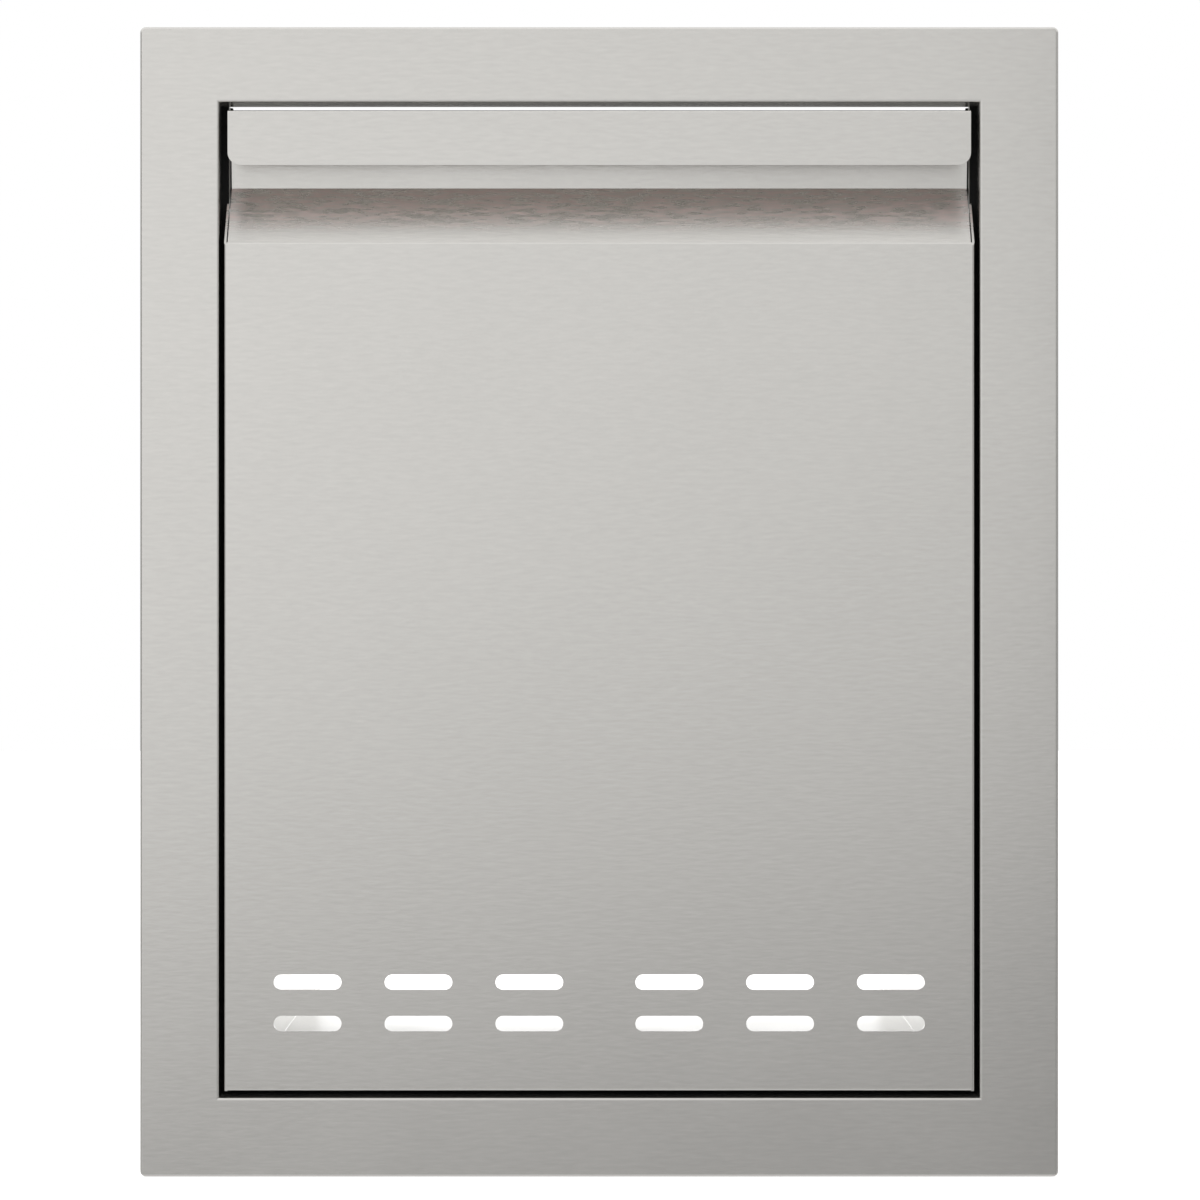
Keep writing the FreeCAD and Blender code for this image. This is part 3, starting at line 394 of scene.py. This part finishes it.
def mill_stainless(finish):
    """Stainless sheet as it leaves the rolls, a 2B finish.

    The eye gets a smooth, slightly cloudy grey with faint long rolling lines. Real lines are finer than
    0.1 mm; they are drawn 1.6 mm wide, so that they show.
    """
    material, tree = new_material("mill_stainless")
    lines, across = grain(tree, 80 * MM, 1.6 * MM)
    patches = cloud(tree, 60 * MM)
    surface(
        tree, tuple(finish.mill), tone=(lines, 0.975, 1.025), shine=(patches, 0.28, 0.32),
        dents=(lines, 0.02 * MM, 0.06), Metallic=1.0, Anisotropic=0.25, Tangent=across,
    )
    return material


def zinc_plate(finish):
    """Rolled steel, bright zinc plated.

    The eye gets a cool, slightly milky shine with a fine haze and faint lines along the rolling.
    """
    material, tree = new_material("zinc_plated_steel")
    lines, across = grain(tree, 50 * MM, 0.9 * MM)
    haze = cloud(tree, 3 * MM, 4.0)
    surface(
        tree, tuple(finish.zinc), tone=(haze, 0.94, 1.04), shine=(haze, 0.24, 0.36),
        dents=(lines, 0.02 * MM, 0.08), Metallic=1.0, Anisotropic=0.2, Tangent=across,
    )
    return material


def steel_strip(finish):
    """Thin steel strip, pressed and left plain.

    The eye gets a duller grey than the plated members, with a trace of oil haze.
    """
    material, tree = new_material("pressed_steel_strip")
    haze = cloud(tree, 5 * MM, 3.0)
    surface(
        tree, tuple(finish.strip), tone=(haze, 0.92, 1.04), shine=(haze, 0.32, 0.44),
        dents=(haze, 0.02 * MM, 0.1), Metallic=1.0,
    )
    return material


def ball_steel(finish):
    """Hardened ball steel, ground and lapped.

    The eye gets a mirror with only a trace of haze from the grease.
    """
    material, tree = new_material("lapped_ball_steel")
    haze = cloud(tree, 1.2 * MM)
    surface(tree, tuple(finish.ball), tone=(haze, 0.97, 1.02), shine=(haze, 0.06, 0.12), Metallic=1.0)
    return material


def black_plastic(finish):
    """Acetal, moulded in a spark-eroded tool.

    The eye gets a soft black with a fine even grain. The grain is about 0.1 mm; it is drawn at 0.5 mm.
    """
    material, tree = new_material("moulded_black_acetal")
    pits = cloud(tree, 0.5 * MM)
    surface(
        tree, tuple(finish.plastic), tone=(pits, 0.9, 1.1), shine=(pits, 0.42, 0.56),
        dents=(pits, 0.05 * MM, 0.3), IOR=1.48,
    )
    return material


def rubber_and_gap_shade(finish):
    """Closed-cell sponge rubber, extruded as a strip, whose black also stands as painted shade.

    The eye gets a dead black with small cells that take the light away. It sits deep in the frame's side
    and bottom gaps, where its black is painted shade.
    """
    material, tree = new_material("black_rubber_gap_shade")
    place = add(tree, "ShaderNodeTexCoord", out="Object")
    cells = add(
        tree, "ShaderNodeTexVoronoi", {"Vector": place, "Scale": 1 / (0.9 * MM)}, out="Distance"
    )
    surface(
        tree, tuple(finish.rubber), tone=(cells, 0.8, 1.2), shine=(cells, 0.85, 0.95),
        dents=(cells, 0.2 * MM, 0.5), IOR=1.5, Specular_IOR_Level=0.25,
    )
    return material


def plain_steel(finish):
    """Cold-headed steel screws and pins, passivated.

    The eye gets a grey shine with small tool marks.
    """
    material, tree = new_material("passivated_screw_steel")
    marks = cloud(tree, 1.5 * MM, 4.0)
    surface(
        tree, tuple(finish.screw), tone=(marks, 0.92, 1.04), shine=(marks, 0.24, 0.36),
        dents=(marks, 0.03 * MM, 0.15), Metallic=1.0,
    )
    return material


def tinted_weld(finish):
    """Stainless heated by a spot weld.

    The eye gets a duller, faintly straw-coloured spot on the sheet.
    """
    material, tree = new_material("straw_tinted_weld")
    marks = cloud(tree, 1.2 * MM, 4.0)
    surface(
        tree, tuple(finish.weld), tone=(marks, 0.88, 1.08), shine=(marks, 0.38, 0.5),
        dents=(marks, 0.05 * MM, 0.25), Metallic=1.0,
    )
    return material


def studio_floor(stage):
    """Matt painted studio floor, a pale even surface with hardly any texture."""
    material, tree = new_material("matt_floor_paint")
    patches = cloud(tree, 150 * MM)
    surface(
        tree, tuple(stage.floor), tone=(patches, 0.99, 1.01), Roughness=0.9,
        Emission_Color=tuple(stage.floor), Emission_Strength=0.7,
    )
    return material


def graded_cloth():
    """Softbox cloth, dimmer at its foot and to the right."""
    material, tree = new_material("graded_softbox_cloth")
    place = add(tree, "ShaderNodeTexCoord", out="Object")
    swing = add(tree, "ShaderNodeSeparateXYZ", {"Vector": place}, out="X")
    height = add(
        tree, "ShaderNodeVectorMath", {0: place, 1: BOX_LEAN}, out="Value", operation="DOT_PRODUCT"
    )
    level = two_way_level(tree, height, BOX_HEIGHT, swing, BOX_SWING)
    glow = add(tree, "ShaderNodeEmission", {"Color": level})
    add(tree, "ShaderNodeOutputMaterial", {"Surface": glow})
    return material


def even_cloth(level):
    """Softbox cloth of one brightness."""
    material, tree = new_material("even_softbox_cloth")
    glow = add(tree, "ShaderNodeEmission", {"Strength": level})
    add(tree, "ShaderNodeOutputMaterial", {"Surface": glow})
    return material


def paint(names, material):
    """Gives CAD nodes a finish through their material slots."""
    for name in names:
        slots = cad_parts[name].data.materials
        slots.clear()
        slots.append(material)


def closed_rings(rings, first, last):
    """Points and faces of a closed skin over a stack of rings.

    rings is an array of rings by points around by 3. Neighbouring rings are joined by four-sided faces,
    and the first and last ring by triangles to one point each, so that no pole or seam is open.
    """
    count, around = rings.shape[:2]
    here = np.arange(around)
    ahead = np.roll(here, -1)
    low = np.arange(count - 1)[:, None] * around
    quads = np.stack([low + here, low + ahead, low + around + ahead, low + around + here], -1)
    start, end = count * around, count * around + 1
    top = (count - 1) * around
    begin = np.stack([np.full(around, start), ahead, here], -1)
    finish = np.stack([np.full(around, end), top + here, top + ahead], -1)
    points = np.concatenate([rings.reshape(-1, 3), [first, last]])
    return points, [quads.reshape(-1, 4), begin, finish]


def piece(name, points, faces, places, body, material, stands_for=None):
    """One mesh of a shape repeated at places, riding on a body.

    The copies are the shape's points plus each place, all in one array.
    """
    size = len(points)
    everywhere = (np.asarray(places)[:, None, :] + points[None]).reshape(-1, 3)
    steps = np.arange(len(places)) * size
    lists = [(f[None] + steps[:, None, None]).reshape(-1, f.shape[1]).tolist() for f in faces]
    mesh = bpy.data.meshes.new(name)
    mesh.from_pydata(everywhere.tolist(), [], [face for group in lists for face in group])
    mesh.materials.append(material)
    mesh.shade_smooth()
    made = bpy.data.objects.new(name, mesh)
    bpy.context.scene.collection.objects.link(made)
    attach(made, body)
    if stands_for:
        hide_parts(stands_for)


def along(points, axis):
    """Points of a shape that stands on the XY plane, turned to stand along an axis with its sign.

    The shape's Z goes to the axis, and its X and Y to the next two in turn, so that it isn't mirrored; a
    negative axis takes X and Y in the other order for the same reason.
    """
    index, sign = axis
    turned = np.empty_like(points)
    first, second = ((index + 1) % 3, (index + 2) % 3)
    if sign < 0:
        first, second = second, first
    turned[:, index] = sign * points[:, 2]
    turned[:, first] = points[:, 0]
    turned[:, second] = points[:, 1]
    return turned


def smooth_step(value, edge, width):
    """0 well above the edge and 1 well below it, with a smooth change of the given width."""
    t = np.clip((edge + width / 2 - value) / width, 0, 1)
    return t * t * (3 - 2 * t)


def full_turn(count):
    """Angles evenly spaced once around."""
    return np.linspace(0, 2 * math.pi, count, endpoint=False)


def ball_shape(diameter):
    """A sphere: radius times sine and cosine of the angle from the pole, over the angle around."""
    tilt = np.linspace(0, math.pi, 17)[1:-1, None]
    turn = full_turn(24)[None]
    radius = diameter / 2
    rings = radius * np.stack(
        [np.sin(tilt) * np.cos(turn), -np.sin(tilt) * np.sin(turn), np.cos(tilt) + 0 * turn], -1
    )
    return closed_rings(rings, (0, 0, radius), (0, 0, -radius))


def screw_head_shape(diameter, height):
    """A low domed head with a cross recess.

    Over the distance from the middle and the angle around, the height is a quarter ellipse, steep at the
    rim, less the depth of the cross. The cross is two smooth-edged slots at right angles.
    """
    radius, steepness = diameter / 2, 2.6
    # The rings lie closer together near the rim, where the dome is steep.
    reach = np.concatenate([np.linspace(0.04, 0.9, 22), np.linspace(0.92, 1, 7)])[:, None]
    turn = full_turn(64)[None]
    across, up = radius * reach * np.cos(turn), radius * reach * np.sin(turn)
    dome = height * np.sqrt(np.clip(1 - reach**steepness, 0, 1)) + 0 * turn
    slot_width, arm, blur = 0.11 * diameter, 0.27 * diameter, 0.05 * diameter
    recess = 0.75 * height
    arms = [
        smooth_step(np.abs(a), slot_width / 2, blur) * smooth_step(np.abs(b), arm, blur)
        for a, b in ((across, up), (up, across))
    ]
    tall = dome - recess * np.maximum(*arms)
    rings = np.stack([across, -up, tall], -1)
    return closed_rings(rings, (0, 0, height - recess), (0, 0, 0))


def weld_mark_shape(diameter, height):
    """A spot weld's mark: over the distance from the middle, a shallow dish inside a low round rim.

    The rim is a bell curve that stands on the dish, and both fall to nothing over the last of the distance.
    """
    radius = diameter / 2
    rim_place, rim_width, dish = 0.78, 0.12, 0.3
    reach = np.linspace(0.1, 1, 12)[:, None]
    turn = full_turn(28)[None]
    rim = np.exp(-(((reach - rim_place) / rim_width) ** 2))
    tall = height * (dish + (1 - dish) * rim) * np.clip((1 - reach) / rim_width, 0, 1)
    rings = np.stack(
        [radius * reach * np.cos(turn), -radius * reach * np.sin(turn), tall + 0 * turn], -1
    )
    return closed_rings(rings, (0, 0, dish * height), (0, 0, 0))


class DRAWER_OT_brushed_front(Operator):
    """Gives the face frame and the drawer front their brushed finish"""

    bl_idname = "drawer.brushed_front"
    bl_label = "Brushed front"

    def execute(self, context):
        paint(BRUSHED_NODES, brushed_stainless(context.scene.drawer_finish))
        return {"FINISHED"}


class DRAWER_OT_inner_sheets(Operator):
    """Gives the housing, tray, gussets and liner their mill finish"""

    bl_idname = "drawer.inner_sheets"
    bl_label = "Inner sheets"

    def execute(self, context):
        paint(MILL_NODES, mill_stainless(context.scene.drawer_finish))
        return {"FINISHED"}


class DRAWER_OT_closing_seal(Operator):
    """Gives the closing seal its black sponge rubber, which also stands as painted shade deep in the frame's
    gaps
    """

    bl_idname = "drawer.closing_seal"
    bl_label = "Closing seal"

    def execute(self, context):
        paint(["closing_seal"], rubber_and_gap_shade(context.scene.drawer_finish))
        return {"FINISHED"}


class DRAWER_OT_slide_members(Operator):
    """Gives the slide members their zinc plate and the ball retainers their plain steel"""

    bl_idname = "drawer.slide_members"
    bl_label = "Slide members"

    def execute(self, context):
        finish = context.scene.drawer_finish
        paint(MEMBER_NODES, zinc_plate(finish))
        paint(RETAINER_NODES, steel_strip(finish))
        return {"FINISHED"}


class DRAWER_OT_ball_sets(Operator):
    """Puts smooth balls in the retainers in place of the many-sided ones"""

    bl_idname = "drawer.ball_sets"
    bl_label = "Ball sets"

    def execute(self, context):
        diameter = context.scene.drawer_hardware.ball_diameter
        material = ball_steel(context.scene.drawer_finish)
        points, faces = ball_shape(diameter)
        for side in SIDES:
            for row in ("outer", "inner"):
                node = f"{side}_{row}_balls"
                low, high = (np.array(corner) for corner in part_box(node))
                middle = (low + high) / 2
                inset = (high[0] - low[0]) / 2
                depths = np.array([low[1] + inset, middle[1], high[1] - inset])
                heights = np.array([low[2] + inset, high[2] - inset])
                y, z = np.meshgrid(depths, heights)
                places = np.stack([np.full(y.size, middle[0]), y.ravel(), z.ravel()], -1)
                piece(f"{side}_{row}_ball_set", points, faces, places, f"{side}_{row}_cage",
                      material, node)
        return {"FINISHED"}


class DRAWER_OT_plastic_parts(Operator):
    """Gives the release levers and the closing buffers their moulded plastic"""

    bl_idname = "drawer.plastic_parts"
    bl_label = "Levers and buffers"

    def execute(self, context):
        paint(PLASTIC_NODES, black_plastic(context.scene.drawer_finish))
        return {"FINISHED"}


class DRAWER_OT_fixings(Operator):
    """Finishes the screws and pivots, and puts in the low-headed screws inside the tray"""

    bl_idname = "drawer.fixings"
    bl_label = "Screws and pivots"

    def execute(self, context):
        hardware = context.scene.drawer_hardware
        material = plain_steel(context.scene.drawer_finish)
        paint(FIXING_NODES, material)
        shape, faces = screw_head_shape(hardware.head_diameter, hardware.head_height)
        tray_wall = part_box("drawer_tray")[1].x - SHEET
        for side, sign in SIDES.items():
            low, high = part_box(f"{side}_drawer_member")
            depth = low.y + (high.y - low.y) * SCREW_PLACES
            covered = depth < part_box(f"{side}_gusset")[1].y
            out = sign * (tray_wall - SHEET * covered)
            level = np.full(depth.size, (low.z + high.z) / 2)
            places = np.stack([out, depth, level], -1)
            piece(f"{side}_tray_screws", along(shape, (0, -sign)), faces, places, "drawer",
                  material)
        return {"FINISHED"}


class DRAWER_OT_weld_marks(Operator):
    """Marks the spot welds of the gussets and the housing"""

    bl_idname = "drawer.weld_marks"
    bl_label = "Spot welds"

    def execute(self, context):
        hardware = context.scene.drawer_hardware
        material = tinted_weld(context.scene.drawer_finish)
        shape, faces = weld_mark_shape(hardware.weld_diameter, hardware.weld_height)
        lap_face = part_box("front_liner")[1].y + SHEET
        floor_low, floor_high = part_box("housing_floor")
        tie_low, tie_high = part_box("rear_tie_bar")
        floor_run = np.linspace(floor_low.y + FLOOR_WELD_ENDS, floor_high.y - FLOOR_WELD_ENDS, FLOOR_WELDS)
        tie_levels = (tie_low.z + tie_high.z) / 2 + TIE_WELD_HEIGHTS
        depth = np.concatenate([floor_run, np.full(tie_levels.size, (tie_low.y + tie_high.y) / 2)])
        level = np.concatenate([np.full(FLOOR_WELDS, floor_high.z - FLOOR_WELD_DROP), tie_levels])
        for side, sign in SIDES.items():
            low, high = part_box(f"{side}_gusset")
            outer = max(abs(low.x), abs(high.x))
            out = np.full(GUSSET_WELDS, sign * (outer - GUSSET_LAP / 2))
            heights = np.linspace(low.z + GUSSET_WELD_FOOT, high.z - GUSSET_WELD_HEAD, GUSSET_WELDS)
            places = np.stack([out, np.full(GUSSET_WELDS, lap_face), heights], -1)
            piece(f"{side}_gusset_welds", along(shape, (1, 1.0)), faces, places, "drawer",
                  material)
            wall = np.full(depth.size, sign * (floor_high.x + SHEET))
            places = np.stack([wall, depth, level], -1)
            piece(f"{side}_housing_welds", along(shape, (0, sign)), faces, places, "cabinet",
                  material)
        return {"FINISHED"}


class DRAWER_OT_stage(Operator):
    """Builds the floor, the studio light and the camera"""

    bl_idname = "drawer.stage"
    bl_label = "Studio"

    def execute(self, context):
        scene = context.scene
        stage = scene.drawer_stage
        self.lay_floor(scene, stage)
        self.light(scene, stage)
        self.hang_softbox(scene, "front_softbox", -stage.front_distance, FRONT_BOX, graded_cloth())
        self.hang_softbox(
            scene, "rear_softbox", stage.rear_distance, REAR_BOX, even_cloth(stage.rear_level)
        )
        self.place_camera(scene, stage)
        scene.view_settings.view_transform = "Standard"
        return {"FINISHED"}

    def lay_floor(self, scene, stage):
        """A round pale floor under the frame's lowest edge: radius times cosine and sine of the turn."""
        level = np.full(FLOOR_SIDES, CAD_BOX[0].z - FLOOR_DROP)
        turn = full_turn(FLOOR_SIDES)
        rim = np.stack([FLOOR_RADIUS * np.cos(turn), FLOOR_RADIUS * np.sin(turn), level], -1)
        mesh = bpy.data.meshes.new("studio_floor")
        mesh.from_pydata(rim.tolist(), [], [list(range(FLOOR_SIDES))])
        mesh.materials.append(studio_floor(stage))
        floor = bpy.data.objects.new("studio_floor", mesh)
        floor.visible_glossy = False
        scene.collection.objects.link(floor)

    def light(self, scene, stage):
        """A pale room, darker low down in front, along the horizon and straight behind."""
        world = bpy.data.worlds.new("studio")
        scene.world = world
        world.use_nodes = True
        tree = world.node_tree
        tree.nodes.clear()
        ray = add(tree, "ShaderNodeTexCoord", out="Generated")
        turn = add(tree, "ShaderNodeSeparateXYZ", {"Vector": ray}).node.outputs
        room = two_way_level(tree, turn["Z"], ROOM_RISE, turn["X"], ROOM_SWING)
        for (start, end), levels in ((ROUND_FROM, ROUND_RISE), (BACK_FROM, BACK_RISE)):
            further_back = ramp(tree, turn["Y"], [(start, 0.0), (end, 1.0)])
            room = add(
                tree, "ShaderNodeMix",
                {"Factor": further_back, "A": room, "B": ramp(tree, turn["Z"], levels)}, data_type="RGBA",
            )
        seen = add(tree, "ShaderNodeLightPath", out="Is Camera Ray")
        glow = add(tree, "ShaderNodeBackground", {"Color": room})
        backdrop = add(tree, "ShaderNodeBackground", {"Color": tuple(stage.backdrop)})
        mixed = add(tree, "ShaderNodeMixShader", {0: seen, 1: glow, 2: backdrop})
        add(tree, "ShaderNodeOutputWorld", {"Surface": mixed})

    def hang_softbox(self, scene, name, depth, edges, material):
        """One flat lit face square to the depth axis, which the camera looks straight through."""
        left, right, low, high = edges
        corners = [(left, low), (right, low), (right, high), (left, high)]
        mesh = bpy.data.meshes.new(name)
        mesh.from_pydata([(x, depth, z) for x, z in corners], [], [(0, 1, 2, 3)])
        mesh.materials.append(material)
        box = bpy.data.objects.new(name, mesh)
        box.visible_camera = False
        scene.collection.objects.link(box)

    def place_camera(self, scene, stage):
        """A level camera straight in front of the frame's centre."""
        camera = bpy.data.cameras.new("camera")
        camera.sensor_width = 36.0
        camera.lens = camera.sensor_width * stage.camera_distance / stage.view_width
        camera.clip_end = 50.0
        holder = bpy.data.objects.new("camera", camera)
        holder.location = (stage.aim_right, CAD_BOX[0].y - stage.camera_distance, stage.aim_up)
        holder.rotation_euler = (math.pi / 2, 0, 0)
        scene.collection.objects.link(holder)
        scene.camera = holder


SETTINGS = {
    "drawer_finish": DrawerFinish,
    "drawer_hardware": DrawerHardware,
    "drawer_stage": DrawerStage,
}
STEPS = [
    DRAWER_OT_brushed_front,
    DRAWER_OT_inner_sheets,
    DRAWER_OT_closing_seal,
    DRAWER_OT_slide_members,
    DRAWER_OT_ball_sets,
    DRAWER_OT_plastic_parts,
    DRAWER_OT_fixings,
    DRAWER_OT_weld_marks,
    DRAWER_OT_stage,
]


class DRAWER_PT_steps(Panel):
    """Lists the drawer's settings and steps"""

    bl_idname = "DRAWER_PT_steps"
    bl_label = "Pull-out drawer"
    bl_space_type = "VIEW_3D"
    bl_region_type = "UI"
    bl_category = "Drawer"

    def draw(self, context):
        for name in SETTINGS:
            settings = getattr(context.scene, name)
            for key in settings.__annotations__:
                self.layout.prop(settings, key)
        for step in STEPS:
            self.layout.operator(step.bl_idname)


CLASSES = [*SETTINGS.values(), *STEPS, DRAWER_PT_steps]


def register():
    """Registers the classes and hangs the settings on the scene."""
    for each in CLASSES:
        bpy.utils.register_class(each)
    for name, group in SETTINGS.items():
        setattr(bpy.types.Scene, name, PointerProperty(type=group))


def unregister():
    """Takes the settings and the classes away again."""
    for name in SETTINGS:
        delattr(bpy.types.Scene, name)
    for each in reversed(CLASSES):
        bpy.utils.unregister_class(each)


def main():
    """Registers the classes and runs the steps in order."""
    register()
    for step in STEPS:
        group, name = step.bl_idname.split(".")
        getattr(getattr(bpy.ops, group), name)()


if __name__ == "__main__":
    main()
